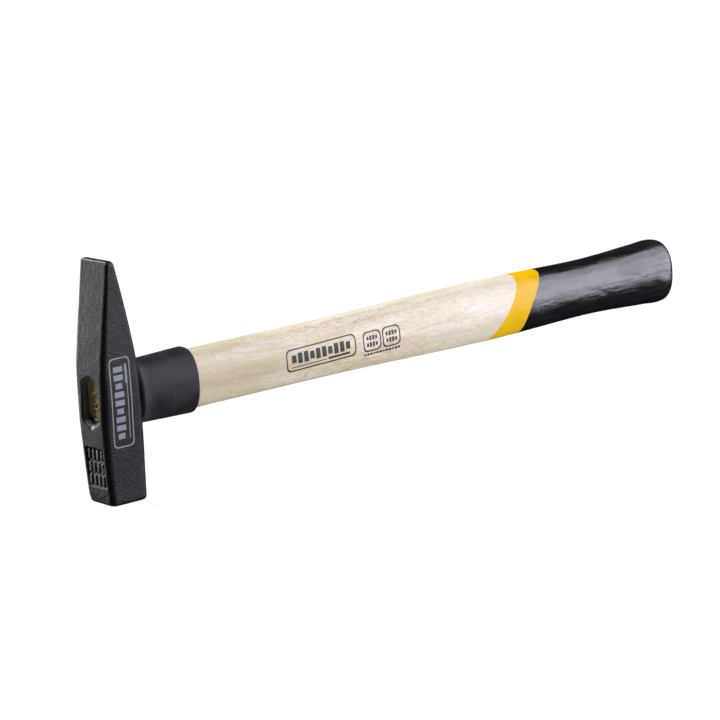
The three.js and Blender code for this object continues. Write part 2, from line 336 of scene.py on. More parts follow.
def slot_loop(x, offset, steps=6):
    """The eye's outline at a place along X: straight sides and blunt pointed ends."""
    half_length = EYE_LENGTH / 2 + offset
    half_width = EYE_WIDTH / 2 + offset
    shoulder = half_length - EYE_END_RISE
    corners = [
        Vector((half_width, -shoulder)), Vector((half_width, shoulder)),
        Vector((0, half_length)), Vector((-half_width, shoulder)),
        Vector((-half_width, -shoulder)), Vector((0, -half_length)),
    ]
    loop = []
    for i, corner in enumerate(corners):
        before = (corners[i - 1] - corner).normalized() * EYE_CORNER
        after = (corners[(i + 1) % len(corners)] - corner).normalized() * EYE_CORNER
        for step in range(steps + 1):
            t = step / steps
            p = corner + before * (1 - t) ** 2 + after * t ** 2
            loop.append(Vector((x, p.x, AXIS_Z + p.y)))
    return loop


def bulge(value):
    return math.copysign(abs(value) ** (2 / SECTION_POWER), value)


def oval_loop(x, half_height, half_width, angles):
    """The handle's section at a place along X: between an oval and a rounded rectangle."""
    return [Vector((
        x,
        half_width * bulge(math.cos(a)),
        AXIS_Z + half_height * bulge(math.sin(a)),
    )) for a in angles]


def measured_grip():
    """Half-height and half-width of the CAD handle at each of its stations along X."""
    co = coordinates(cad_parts["handle"])
    x = np.round(co[:, 0], 5)
    rows = []
    for station in np.unique(x[x > SHOULDER_X - 1e-5]):
        ring = co[x == station]
        rows.append((station, abs(ring[:, 2] - AXIS_Z).max(), abs(ring[:, 1]).max()))
    return np.array(rows)


GRIP = measured_grip()


def grip_size(x):
    """Half-height and half-width at x, on a smooth curve through the CAD stations."""
    stations = GRIP[:, 0]
    i = int(np.clip(np.searchsorted(stations, x) - 1, 0, len(stations) - 2))
    width = stations[i + 1] - stations[i]
    t = clamp01((x - stations[i]) / width)
    sizes = []
    for column in (1, 2):
        values = GRIP[:, column]
        slopes = np.gradient(values, stations)
        rise = values[i + 1] - values[i]
        a, b = slopes[i] * width, slopes[i + 1] * width
        curve = (a - rise) * (1 - t) - (b - rise) * t
        sizes.append(values[i] + t * rise + t * (1 - t) * curve)
    return sizes


# ---- Materials: node helpers --------------------------------------------------------------------

class Shader:
    """A Principled material with short ways to add the nodes that drive it."""

    def __init__(self, name, **settings):
        self.material = bpy.data.materials.new(name)
        self.material.use_nodes = True
        self.tree = self.material.node_tree
        self.bsdf = self.tree.nodes["Principled BSDF"]
        self.place = self.tree.nodes.new("ShaderNodeTexCoord").outputs["Object"]
        for key, value in settings.items():
            self.bsdf.inputs[key.replace("_", " ")].default_value = value

    def link(self, source, target):
        self.tree.links.new(source, target)

    def scaled(self, x, y, z):
        """Object coordinates, scaled: noise along them is finer where the scale is larger."""
        node = self.tree.nodes.new("ShaderNodeMapping")
        node.inputs["Scale"].default_value = (x, y, z)
        self.link(self.place, node.inputs["Vector"])
        return node.outputs["Vector"]

    def along_and_up(self):
        """The X and Z object coordinates."""
        node = self.tree.nodes.new("ShaderNodeSeparateXYZ")
        self.link(self.place, node.inputs["Vector"])
        return node.outputs["X"], node.outputs["Z"]

    def noise(self, size=None, where=None, detail=3.0, roughness=0.5, distortion=0.0):
        """Noise with lumps about this size in metres, or along given coordinates."""
        node = self.tree.nodes.new("ShaderNodeTexNoise")
        self.link(where or self.place, node.inputs["Vector"])
        node.inputs["Scale"].default_value = 1.0 / size if size else 1.0
        node.inputs["Detail"].default_value = detail
        node.inputs["Roughness"].default_value = roughness
        node.inputs["Distortion"].default_value = distortion
        return node.outputs["Fac"]

    def cells(self, size):
        """Distance to the nearest of scattered points about this far apart, in cell sizes."""
        node = self.tree.nodes.new("ShaderNodeTexVoronoi")
        self.link(self.place, node.inputs["Vector"])
        node.inputs["Scale"].default_value = 1.0 / size
        return node.outputs["Distance"]

    def spot(self, y, z, radius, blur):
        """1 inside a round spot seen along X, fading to 0 over the blur."""
        node = self.tree.nodes.new("ShaderNodeVectorMath")
        node.operation = "DISTANCE"
        self.link(self.scaled(0, 1, 1), node.inputs[0])
        node.inputs[1].default_value = (0, y, z)
        return self.remap(node.outputs["Value"], radius, radius - blur)

    def math(self, operation, a, b=0.0):
        node = self.tree.nodes.new("ShaderNodeMath")
        node.operation = operation
        for socket, value in zip(node.inputs, (a, b)):
            if isinstance(value, (int, float)):
                socket.default_value = value
            else:
                self.link(value, socket)
        return node.outputs["Value"]

    def remap(self, value, low, high, out_low=0.0, out_high=1.0):
        node = self.tree.nodes.new("ShaderNodeMapRange")
        node.interpolation_type = "SMOOTHSTEP"
        self.link(value, node.inputs["Value"])
        node.inputs["From Min"].default_value = low
        node.inputs["From Max"].default_value = high
        node.inputs["To Min"].default_value = out_low
        node.inputs["To Max"].default_value = out_high
        return node.outputs["Result"]

    def blend(self, factor, a, b):
        """Colour a where the factor is 0 and b where it is 1."""
        node = self.tree.nodes.new("ShaderNodeMix")
        node.data_type = "RGBA"
        inputs = [s for s in node.inputs if s.enabled]
        for socket, value in zip(inputs, (factor, a, b)):
            if isinstance(value, (int, float)):
                socket.default_value = value
            elif isinstance(value, tuple):
                socket.default_value = (*value, 1.0)
            else:
                self.link(value, socket)
        return [s for s in node.outputs if s.enabled][0]

    def bump(self, height, distance, strength, under=None):
        node = self.tree.nodes.new("ShaderNodeBump")
        self.link(height, node.inputs["Height"])
        node.inputs["Distance"].default_value = distance
        node.inputs["Strength"].default_value = strength
        if under is not None:
            self.link(under, node.inputs["Normal"])
        return node.outputs["Normal"]

    def colour(self, source):
        self.link(source, self.bsdf.inputs["Base Color"])

    def rough(self, source):
        self.link(source, self.bsdf.inputs["Roughness"])

    def normal(self, source):
        self.link(source, self.bsdf.inputs["Normal"])


def black_paint(name, sheen, smoothest, roughest):
    """Satin black paint over a forged, slightly pitted surface."""
    s = Shader(name, Specular_IOR_Level=sheen)
    patches = s.noise(7 * MM, detail=3)
    grain = s.noise(0.8 * MM, detail=3, roughness=0.55)
    pits = s.cells(1.3 * MM)
    dark, light = (0.006, 0.006, 0.0065), (0.013, 0.0135, 0.0145)
    s.colour(s.blend(s.remap(grain, 0.35, 0.7), dark, light))
    rough = s.remap(patches, 0.3, 0.7, smoothest, roughest)
    s.rough(s.math("ADD", rough, s.remap(grain, 0.3, 0.7, -0.05, 0.07)))
    coarse = s.bump(s.remap(pits, 0.05, 0.42), 0.07 * MM, 0.35)
    s.normal(s.bump(grain, 0.16 * MM, 0.48, under=coarse))
    return s.material


def smeared_steel():
    """The eye's walls: dull paint with brown resin smeared over it."""
    s = Shader("smeared_steel", Specular_IOR_Level=0.4)
    smear = s.noise(2.5 * MM, detail=3, distortion=0.5)
    grain = s.noise(0.7 * MM, detail=2)
    base = s.blend(s.remap(smear, 0.35, 0.65), (0.078, 0.070, 0.076), (0.100, 0.088, 0.082))
    overflow = s.spot(-EYE_WIDTH / 2 - MM, AXIS_Z - 4 * MM, 4.2 * MM, 1.6 * MM)
    s.colour(s.blend(overflow, base, (0.200, 0.115, 0.055)))
    s.rough(s.remap(grain, 0.3, 0.7, 0.26, 0.42))
    s.normal(s.bump(grain, 0.08 * MM, 0.4))
    return s.material


def ash_wood():
    """Pale ash: long grain, tan streaks, soft patches, fine fibres and short dark pores."""
    s = Shader("ash_wood")
    drift = s.noise(where=s.scaled(30, 150, 150), detail=3, distortion=0.6)
    rings = s.noise(where=s.scaled(22, 420, 340), detail=4, roughness=0.65, distortion=1.0)
    blotches = s.noise(where=s.scaled(210, 430, 430), detail=4, roughness=0.62, distortion=0.9)
    flecks = s.noise(where=s.scaled(420, 1300, 1300), detail=3, roughness=0.6)
    fibres = s.noise(where=s.scaled(80, 2200, 2200), detail=3, roughness=0.6)
    pores = s.noise(where=s.scaled(230, 2600, 2600), detail=2)
    along, height = s.along_and_up()
    cream, tan, pink = (0.80, 0.70, 0.50), (0.60, 0.45, 0.25), (0.88, 0.79, 0.66)
    base = s.blend(s.remap(drift, 0.42, 0.60), cream, pink)
    base = s.blend(s.remap(rings, 0.47, 0.66, 0.0, 0.60), base, tan)
    base = s.blend(s.remap(blotches, 0.51, 0.66, 0.0, 0.46), base, (0.60, 0.44, 0.22))
    base = s.blend(s.remap(blotches, 0.46, 0.36, 0.0, 0.35), base, (0.93, 0.86, 0.75))
    base = s.blend(s.remap(flecks, 0.50, 0.64, 0.0, 0.42), base, (0.47, 0.35, 0.19))
    base = s.blend(s.remap(fibres, 0.45, 0.68, 0.0, 0.22), base, (0.90, 0.82, 0.66))
    base = s.blend(s.remap(pores, 0.62, 0.73, 0.0, 0.35), base, (0.36, 0.25, 0.13))
    base = s.blend(s.remap(along, 100 * MM, 150 * MM, 0.0, 0.30), base, (0.95, 0.87, 0.77))
    # The wood is warmer and darker towards the head, most of all along the middle of its sides.
    wobble = s.math("ADD", along, s.remap(drift, 0.3, 0.7, -9 * MM, 9 * MM))
    near_head = s.remap(wobble, 96 * MM, 44 * MM, 0.0, 0.50)
    base = s.blend(near_head, base, (0.62, 0.54, 0.36))
    off_axis = s.math("ABSOLUTE", s.math("SUBTRACT", height, AXIS_Z + 1.0 * MM))
    core = s.math("MULTIPLY", s.remap(off_axis, 6.5 * MM, 2.5 * MM), near_head)
    s.colour(s.blend(core, base, (0.46, 0.36, 0.20)))
    s.rough(s.remap(fibres, 0.3, 0.7, 0.32, 0.46))
    s.normal(s.bump(fibres, 0.05 * MM, 0.5))
    return s.material


def yellow_paint():
    s = Shader("yellow_paint", Specular_IOR_Level=0.22)
    streaks = s.noise(where=s.scaled(60, 900, 900), detail=3)
    cloud = s.noise(9 * MM, detail=2)
    base = s.blend(s.remap(cloud, 0.35, 0.65), (0.86, 0.485, 0.001), (0.92, 0.545, 0.002))
    s.colour(s.blend(s.remap(streaks, 0.5, 0.75, 0.0, 0.25), base, (0.72, 0.38, 0.001)))
    s.rough(s.remap(streaks, 0.3, 0.7, 0.24, 0.34))
    s.normal(s.bump(streaks, 0.04 * MM, 0.4))
    return s.material


def black_lacquer():
    """The dipped grip: glossy black lacquer that follows the wood's grain."""
    s = Shader("black_lacquer", Coat_Weight=0.6, Coat_Roughness=0.2)
    waves = s.noise(where=s.scaled(90, 190, 190), detail=3, distortion=0.6)
    grain = s.noise(where=s.scaled(45, 1100, 1100), detail=3)
    dust_and_painted_sheen = s.noise(0.5 * MM, detail=2)
    s.colour(s.blend(s.remap(dust_and_painted_sheen, 0.4, 0.7), (0.006, 0.006, 0.008), (0.013, 0.013, 0.016)))
    streaks = s.noise(where=s.scaled(70, 520, 520), detail=4, roughness=0.6, distortion=0.5)
    s.rough(s.remap(streaks, 0.35, 0.65, 0.20, 0.44))
    wavy = s.bump(waves, 0.8 * MM, 0.55)
    streaked = s.bump(streaks, 0.35 * MM, 0.5, under=wavy)
    s.normal(s.bump(grain, 0.08 * MM, 0.6, under=streaked))
    return s.material


def black_rubber():
    """Matt rubber, with a painted sheen where it is stretched over the neck's root and painted
    shade in the gap at the head.
    """
    s = Shader("black_rubber", Specular_IOR_Level=0.18)
    fine = s.noise(0.35 * MM, detail=3)
    cloud = s.noise(6 * MM, detail=2)
    along, _ = s.along_and_up()
    base = s.blend(s.remap(cloud, 0.35, 0.65), (0.018, 0.018, 0.021), (0.029, 0.029, 0.032))
    # Painted highlight: the base is made lighter near the neck's root, standing in for a sheen.
    dust_and_painted_sheen = s.remap(along, 12.5 * MM, 10 * MM, 0.0, 0.45)
    base = s.blend(dust_and_painted_sheen, base, (0.070, 0.072, 0.078))
    # Painted shade: the base goes near black at the root, for the shadowed gap between the head
    # and the sleeve.
    painted_gap_shade = s.remap(along, 9.3 * MM, 8.8 * MM)
    s.colour(s.blend(painted_gap_shade, base, (0.006, 0.006, 0.006)))
    s.rough(s.remap(cloud, 0.3, 0.7, 0.38, 0.56))
    folds = s.bump(cloud, 0.25 * MM, 0.4)
    s.normal(s.bump(fine, 0.04 * MM, 0.5, under=folds))
    return s.material


def wedge_steel():
    """Steel under a film of brown resin."""
    s = Shader("wedge_steel", Metallic=0.3)
    stain = s.noise(1.4 * MM, detail=3)
    s.colour(s.blend(s.remap(stain, 0.42, 0.62), (0.36, 0.30, 0.20), (0.14, 0.09, 0.04)))
    s.rough(s.remap(stain, 0.3, 0.7, 0.38, 0.55))
    s.normal(s.bump(stain, 0.05 * MM, 0.5))
    return s.material


def amber_resin():
    """Hard resin: olive above, brown inside the rings and low down, with a clear yellow patch, and
    painted shade for a hole in the upper ring and for the gap between the rings.
    """
    s = Shader("amber_resin", Specular_IOR_Level=0.35)
    cloud = s.noise(2.6 * MM, detail=2, distortion=0.4)
    specks = s.noise(0.8 * MM, detail=2)
    _, up = s.along_and_up()
    height = s.math("ADD", up, s.remap(cloud, 0.3, 0.7, -0.8 * MM, 0.8 * MM))
    base = s.blend(s.remap(specks, 0.35, 0.65), (0.180, 0.160, 0.055), (0.230, 0.200, 0.085))
    brown = s.blend(s.remap(cloud, 0.38, 0.62), (0.300, 0.150, 0.050), (0.420, 0.240, 0.075))
    base = s.blend(s.remap(height, AXIS_Z - 2.4 * MM, AXIS_Z - 4.2 * MM), base, brown)
    middles = []
    for node in ("ring_wedge_upper", "ring_wedge_lower"):
        low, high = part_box(node)
        middles.append((low.z + high.z) / 2)
        base = s.blend(s.spot(0, middles[-1], high.z - middles[-1], 0.6 * MM), base, brown)
    upper, lower = middles
    # Painted shade: a dark spot for a hole in the upper ring, and a dark patch for the gap between
    # the rings.
    dark = (0.050, 0.026, 0.008)
    base = s.blend(s.spot(-0.8 * MM, upper + 0.9 * MM, 0.9 * MM, 0.6 * MM), base, dark)
    base = s.blend(s.spot(0, (upper + lower) / 2, 0.9 * MM, 0.6 * MM), base, (0.045, 0.042, 0.018))
    patch = s.spot(0.4 * MM, lower - 0.4 * MM, 1.3 * MM, 0.5 * MM)
    s.colour(s.blend(patch, base, (0.480, 0.360, 0.010)))
    s.rough(s.remap(specks, 0.3, 0.7, 0.40, 0.58))
    s.normal(s.bump(cloud, 0.12 * MM, 0.5))
    return s.material


def ink(name, low, high):
    """Printed ink, a little uneven where it sits on the surface under it."""
    s = Shader(name)
    patchy = s.noise(0.5 * MM, detail=3)
    s.colour(s.blend(s.remap(patchy, 0.35, 0.65), low, high))
    s.rough(s.remap(patchy, 0.3, 0.7, 0.4, 0.6))
    s.normal(s.bump(patchy, 0.02 * MM, 0.4))
    return s.material


# ---- Head -----------------------------------------------------------------------------------

def settle(p, half_depth, half_width):
    """Moves a point of the blank where the forging isn't even."""
    # The corner of the face that is in front and on the +Y side is rounder than the others.
    corner = ((head_centre(p.z) - p.x) / half_depth + p.y / half_width) / 2
    set_in, height = WORN_CORNER
    wear = smooth(1 - p.z / height) * smooth((corner - 0.45) / 0.45)
    p.x += set_in * wear
    p.y -= set_in * wear
    # The pein's edge is less rounded at its +Y end.
    under = (HEAD_LENGTH - p.z) / PEIN_EDGE_HEIGHT
    if 0 <= under <= 1 and p.y > 0:
        share = smooth(p.y / half_width)
        p.y += share * 0.5 * (head_half_width(p.z) - half_width)
        p.z += share * 0.45 * (HEAD_LENGTH - p.z)


def head_blank():
    steps = 6
    loops = []

    def section(z, inset_x, inset_y):
        half_depth = head_half_depth(z) - inset_x
        half_width = head_half_width(z) - inset_y
        radius = min(head_corner(z), 0.9 * half_depth)
        loop = rounded_rectangle(z, head_centre(z), half_depth, half_width, radius)
        for p in loop:
            settle(p, half_depth, half_width)
        loops.append(loop)

    inset, height = FACE_BEVEL
    for share_in, share_up in bevel_pairs(steps):
        section(height * share_up, inset * share_in, inset * share_in)
    rows = 80
    top = HEAD_LENGTH - PEIN_EDGE_HEIGHT
    for i in range(1, rows):
        section(mix(height, top, i / rows), 0, 0)
    for share_in, share_up in reversed(bevel_pairs(steps)):
        z = HEAD_LENGTH - PEIN_EDGE_HEIGHT * share_up
        section(z, PEIN_EDGE_INSET * share_in, PEIN_END_INSET * share_in)
    return loft("hammer_head_skin", loops)


def in_eye(p, offset):
    """True for a point inside the eye's outline, widened by the offset."""
    reach = EYE_LENGTH / 2 + offset + (MOUTH_DROP if p.z < AXIS_Z and p.x < 0 else 0)
    if abs(p.y) > EYE_WIDTH / 2 + offset:
        return False
    return abs(p.z - AXIS_Z) < reach - EYE_END_RISE * abs(p.y) / (EYE_WIDTH / 2)


def eye_cutter():
    front = head_half_depth(AXIS_Z)
    beyond = 2 * MM
    flare = MOUTH_FLARE * (1 + beyond / MOUTH_DEPTH)
    mouth = slot_loop(-front - beyond, flare)
    shoulder = AXIS_Z - EYE_LENGTH / 2 + EYE_END_RISE
    drop = MOUTH_DROP * (1 + beyond / MOUTH_DEPTH)
    for p in mouth:
        p.z -= drop * smooth((shoulder - p.z) / EYE_END_RISE + 0.5)
    return loft("eye_cutter", [
        mouth, slot_loop(-front + MOUTH_DEPTH, 0),
        slot_loop(front - MOUTH_DEPTH, 0), slot_loop(front + beyond, flare),
    ])


def facing_out(obj):
    """Turns every face of a closed mesh outwards."""
    mesh = bmesh.new()
    mesh.from_mesh(obj.data)
    bmesh.ops.recalc_face_normals(mesh, faces=mesh.faces)
    mesh.to_mesh(obj.data)
    mesh.free()
    return obj


def panel_cutter(floor_x):
    """The panel's hollow: a flat floor, and walls that lean outwards."""
    bottom, top, far, near = PANEL_WALLS
    low, high = PANEL_BOTTOM - 0.4 * MM, PANEL_BOTTOM + PANEL_HEIGHT + 0.2 * MM
    half = PANEL_WIDTH / 2
    verts = []
    for x in (floor_x - 5 * PANEL_DEPTH, floor_x):
        grow = (floor_x - x) / PANEL_DEPTH - 1
        y0, y1 = -half - near * grow, half + far * grow
        z0, z1 = low - bottom * grow, high + top * grow
        verts += [(x, y0, z0), (x, y1, z0), (x, y1, z1), (x, y0, z1)]
    faces = [(0, 3, 2, 1), (4, 5, 6, 7), (0, 1, 5, 4), (1, 2, 6, 5), (2, 3, 7, 6), (3, 0, 4, 7)]
    return facing_out(new_object("panel", verts, faces))


def in_panel(p):
    """True for a point that the stamp has pressed in."""
    if p.x > 0 or abs(p.y) > PANEL_WIDTH / 2 + 0.3 * MM:
        return False
    if abs(p.z - PANEL_BOTTOM - PANEL_HEIGHT / 2) > PANEL_HEIGHT / 2 + 0.7 * MM:
        return False
    return p.x - head_centre(p.z) + head_half_depth(p.z) > 0.05 * MM


def build_head():
    head = head_blank()
    boolean(head, eye_cutter(), "DIFFERENCE")
    floor_x = -head_half_depth(PANEL_BOTTOM + PANEL_HEIGHT / 2) + PANEL_DEPTH
    boolean(head, panel_cutter(floor_x), "DIFFERENCE")
    remeshed(head, 0.25 * MM, 3)
    roughen(head, [(9 * MM, 0.05 * MM), (2.2 * MM, 0.03 * MM), (0.8 * MM, 0.02 * MM)], 1)
    shade_smooth(head)
    stamped = black_paint("stamped_black_paint", 0.5, 0.34, 0.46)
    build_relief(floor_x, stamped)
    part(head, ["hammer_head"], black_paint("black_paint", 0.3, 0.38, 0.48))
    head.data.materials.append(smeared_steel())
    head.data.materials.append(stamped)
    for face in head.data.polygons:
        if in_eye(face.center, 0.42 * MM):
            face.material_index = 1
        elif in_panel(face.center):
            face.material_index = 2
    return head


def build_relief(floor_x, paint):
    """The stamped panel's raised marks: plain upright pads with rounded edges, in rows."""
    cell_y, cell_z = PAD_FIELD[0] / PAD_COLUMNS, PAD_FIELD[1] / PAD_ROWS
    width, height = 0.76 * cell_y, 0.84 * cell_z
    middle_z = PANEL_BOTTOM + 7.3 * MM
    verts, faces = [], []
    for row in range(PAD_ROWS):
        for column in range(PAD_COLUMNS):
            y = cell_y * (column - (PAD_COLUMNS - 1) / 2)
            z = middle_z + cell_z * (row - (PAD_ROWS - 1) / 2)
            first = len(verts)
            outline = rounded_outline(width, height, 0.35 * width, 0.3 * MM)
            count = len(outline)
            levels = [(0.2 * MM, 0)]
            for share_in, share_up in reversed(bevel_pairs(5)):
                levels.append((-PAD_RISE * (1 - share_up), PAD_EDGE * share_in))
            for rise, inset in levels:
                for py, pz in outline:
                    sy, sz = 1 - 2 * inset / width, 1 - 2 * inset / height
                    verts.append((floor_x + rise, y + py * sy, z + pz * sz))
            for level in range(len(levels) - 1):
                for i in range(count):
                    a, b = first + level * count, (i + 1) % count
                    faces.append((a + i, a + b, a + count + b, a + count + i))
            last = first + (len(levels) - 1) * count
            faces.append(tuple(range(last, last + count)))
            faces.append(tuple(range(first, first + count)))
    obj = facing_out(new_object("stamp_relief", verts, faces))
    roughen(obj, [(1.2 * MM, 0.08 * MM)], 5)
    shade_smooth(obj)
    part(obj, (), paint)


# ---- Handle ---------------------------------------------------------------------------------

def slant(s, rise):
    """How far a mesh ring leans at a height, so that rings lie along the painted edges."""
    start, end = BAND_START[0], DIP_START[0]
    share = clamp01((s - start) / (end - start))
    lean = mix(BAND_START[1], DIP_START[1], share)
    curve = mix(BAND_START[2], DIP_START[2], share)
    reach = smooth((s - start + 60 * MM) / (60 * MM)) * smooth(1 - (s - end) / (50 * MM))
    return reach * (lean * rise + curve * rise * rise)


def handle_point(s, angle, inset=0.0, coat=0.0):
    half_height, half_width = grip_size(s)
    rise = half_height * bulge(math.sin(angle))
    x = s + slant(s, rise)
    half_height, half_width = grip_size(x)
    inset *= 1 - 0.42 * math.sin(angle)  # the knob's end is fuller above and rounder below
    half_height += coat - inset
    half_width += coat - inset
    return Vector((
        x,
        half_width * bulge(math.cos(angle)),
        AXIS_Z + half_height * bulge(math.sin(angle)),
    ))


def build_handle():
    segments = 144
    edge = 0.25 * MM
    rings = []  # (place, region, inset)
    step = 1.0 * MM
    bevel_length, bevel_inset = BUTT_BEVEL
    for start, end, region in (
        (SHOULDER_X, BAND_START[0], "wood"),
        (BAND_START[0], DIP_START[0], "yellow"),
        (DIP_START[0], BUTT_X - bevel_length, "black"),
    ):
        place = start
        while place < end - edge:
            rings.append((place, region, 0))
            place += step
    for share_in, share_up in reversed(bevel_pairs(10)):
        rings.append((BUTT_X - bevel_length * share_up, "black", bevel_inset * share_in))
    angles = [i / segments * 2 * math.pi for i in range(segments)]
    loops = []
    for place, region, inset in rings:
        loops.append([handle_point(place, a, inset, COAT_THICKNESS[region]) for a in angles])
    # The neck narrows to the tenon inside the sleeve and the eye.
    inner_height, inner_width = EYE_LENGTH / 2 - 1.3 * MM, EYE_WIDTH / 2 - FIT_GAP
    neck = [
        oval_loop(TENON_X, inner_height + 0.6 * MM, inner_width, angles),
        oval_loop(BODY_DEPTH / 2 + FIT_GAP, inner_height, inner_width, angles),
    ]
    obj = loft("handle_skin", neck + loops)
    index = {"wood": 0, "yellow": 1, "black": 2}
    regions = ["wood"] * len(neck) + [region for _, region, _ in rings]
    for i, face in enumerate(obj.data.polygons):
        row = i // segments
        if row < len(regions) - 1:
            face.material_index = index[regions[row]]
        else:
            face.material_index = 0 if i == len(obj.data.polygons) - 2 else 2
    roughen(obj, [(22 * MM, 0.06 * MM), (5 * MM, 0.03 * MM)], 2)
    shade_smooth(obj)
    part(obj, ["handle"])
    for material in (ash_wood(), yellow_paint(), black_lacquer()):
        obj.data.materials.append(material)
    return obj


# ---- Sleeve, wedges, resin --------------------------------------------------------------------

def build_sleeve():
    """A thin tube that follows the CAD sleeve, with a rounded rim and a rolled-in lip."""
    segments = 128
    angles = [i / segments * 2 * math.pi for i in range(segments)]
    root_height = EYE_LENGTH / 2 + NECK_GROWTH[0] + FIT_GAP + SLEEVE_WALL
    root_width = EYE_WIDTH / 2 + NECK_GROWTH[1] + FIT_GAP + SLEEVE_WALL
    rim_height = (SLEEVE_HIGH.z - SLEEVE_LOW.z) / 2
    rim_width = (SLEEVE_HIGH.y - SLEEVE_LOW.y) / 2
    start = SLEEVE_LOW.x - 0.1 * MM
    radius = SLEEVE_RIM_ROUND
    loops = []

    def ring(x, height, width):
        loops.append(oval_loop(x, height, width, angles))

    root_round = SLEEVE_ROOT_ROUND
    for i in range(8):
        angle = i / 8 * math.pi / 2
        taken = root_round * 0.45 * (1 - math.sin(angle))
        ring(start + root_round * (1 - math.cos(angle)), root_height - taken, root_width - taken)
    for i in range(24):
        t = i / 24
        x = mix(start + root_round, SLEEVE_END_X - radius, t)
        ring(x, mix(root_height, rim_height, t), mix(root_width, rim_width, t))
    for i in range(9):
        angle = i / 8 * math.pi / 2
        taken = radius * (1 - math.cos(angle))
        ring(SLEEVE_END_X - radius * (1 - math.sin(angle)), rim_height - taken, rim_width - taken)
    wood_height, wood_width = grip_size(SLEEVE_END_X)
    ring(SLEEVE_END_X - 0.02 * MM, wood_height + 0.1 * MM, wood_width + 0.1 * MM)
    ring(SLEEVE_END_X - 1.5 * MM, wood_height + 0.05 * MM, wood_width + 0.05 * MM)
    ring(start, root_height - SLEEVE_LAP, root_width - SLEEVE_LAP)
    verts = [p for loop in loops for p in loop]
    faces = []
    for row in range(len(loops)):
        this, after = row * segments, ((row + 1) % len(loops)) * segments
        for i in range(segments):
            j = (i + 1) % segments
            faces.append((this + i, this + j, after + j, after + i))
    obj = new_object("sleeve_skin", verts, faces)
    roughen(obj, [(6 * MM, 0.03 * MM)], 3)
    shade_smooth(obj)
    return part(obj, ["protective_sleeve"], black_rubber())


def build_ring(node):
    """A short steel tube with a rounded, slightly burred rim."""
    low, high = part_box(node)
    radius = (high.z - low.z) / 2
    wall = RING_WALL
    centre = Vector((0, 0, (low.z + high.z) / 2))
    profile = [(high.x, radius - 0.2 * MM), (low.x + 0.3 * MM, radius)]
    for i in range(7):
        angle = i / 6 * math.pi
        profile.append((
            low.x + wall / 2 * (1 - math.sin(angle)),
            radius - wall / 2 + wall / 2 * math.cos(angle),
        ))
    profile.append((low.x + 0.3 * MM, radius - wall))
    profile.append((high.x, radius - wall))
    segments = 64
    verts, faces = [], []
    for i in range(segments):
        angle = i / segments * 2 * math.pi
        for x, r in profile:
            verts.append(centre + Vector((x, r * math.cos(angle), r * math.sin(angle))))
    count = len(profile)
    for i in range(segments):
        for j in range(count):
            a, b = i * count, ((i + 1) % segments) * count
            k = (j + 1) % count
            faces.append((a + j, b + j, b + k, a + k))
    obj = new_object(node + "_skin", verts, faces)
    roughen(obj, [(1.5 * MM, 0.04 * MM)], 4)
    shade_smooth(obj)
    return part(obj, [node], wedge_steel())


def build_resin():
    """A hardened pool over the end grain: it climbs the eye's wall and is lumpy."""
    front, back = RESIN_LOW.x, RESIN_HIGH.x
    outline = slot_loop(0, -0.12 * MM, steps=10)
    centre = Vector((0, 0, AXIS_Z))
    loops = [[centre + (p - centre) + Vector((back, 0, 0)) for p in outline]]
    for row in range(RESIN_ROWS):
        share = 1 - row / RESIN_ROWS
        loop = []
        for p in outline:
            flat = centre + (p - centre) * share
            climb = 0.25 * MM * math.exp(-(1 - share) * 12)
            loop.append(Vector((front + 0.35 * MM - climb, flat.y, flat.z)))
        loops.append(loop)
    obj = loft("resin_seal_skin", loops)
    co = coordinates(obj)
    lumps = np.array([noise.noise(Vector(p) / (1.9 * MM)) for p in co])
    top = co[:, 0] < back - 0.1 * MM
    co[:, 0] += np.where(top, lumps * 0.08 * MM, 0)
    set_coordinates(obj, co)
    shade_smooth(obj)
    return part(obj, ["resin_seal"], amber_resin())


# ---- Prints -----------------------------------------------------------------------------------

def closed_strip(outer, inner):
    """Quads between two closed rows of the same number of points."""
    count = len(outer)
    faces = []
    for i in range(count):
        j = (i + 1) % count
        faces.append((i, j, count + j, count + i))
    return outer + inner, faces


def rounded_outline(width, height, radius, spacing):
    """Points along a rounded rectangle about the origin, no further apart than spacing."""
    points = []
    for corner in range(4):
        cx = (width / 2 - radius) * (1 if corner in (0, 3) else -1)
        cy = (height / 2 - radius) * (1 if corner < 2 else -1)
        for step in range(7):
            angle = (corner + step / 6) * math.pi / 2
            points.append((cx + radius * math.cos(angle), cy + radius * math.sin(angle)))
    fine = []
    for i, a in enumerate(points):
        b = points[(i + 1) % len(points)]
        pieces = max(1, math.ceil(math.dist(a, b) / spacing))
        fine += [(mix(a[0], b[0], k / pieces), mix(a[1], b[1], k / pieces)) for k in range(pieces)]
    return fine


def frame_shape(width, height, radius, line):
    """A rounded frame as a strip between two outlines."""
    outer = rounded_outline(width, height, radius, PRINT_SPACING)
    shrink_x, shrink_y = (width - 2 * line) / width, (height - 2 * line) / height
    inner = [(x * shrink_x, y * shrink_y) for x, y in outer]
    return closed_strip(outer, inner)


def bar_shape(x, y, width, height):
    """A plain bar, as a grid fine enough to follow a curved surface."""
    columns = max(2, math.ceil(width / PRINT_SPACING))
    rows = max(2, math.ceil(height / PRINT_SPACING))
    verts = []
    for i in range(columns + 1):
        for j in range(rows + 1):
            verts.append((x + width * (i / columns - 0.5), y + height * (j / rows - 0.5)))
    faces = []
    for i in range(columns):
        for j in range(rows):
            a = i * (rows + 1) + j
            faces.append((a, a + rows + 1, a + rows + 2, a + 1))
    return verts, faces


def shifted(shape, dx, dy):
    verts, faces = shape
    return [(x + dx, y + dy) for x, y in verts], faces


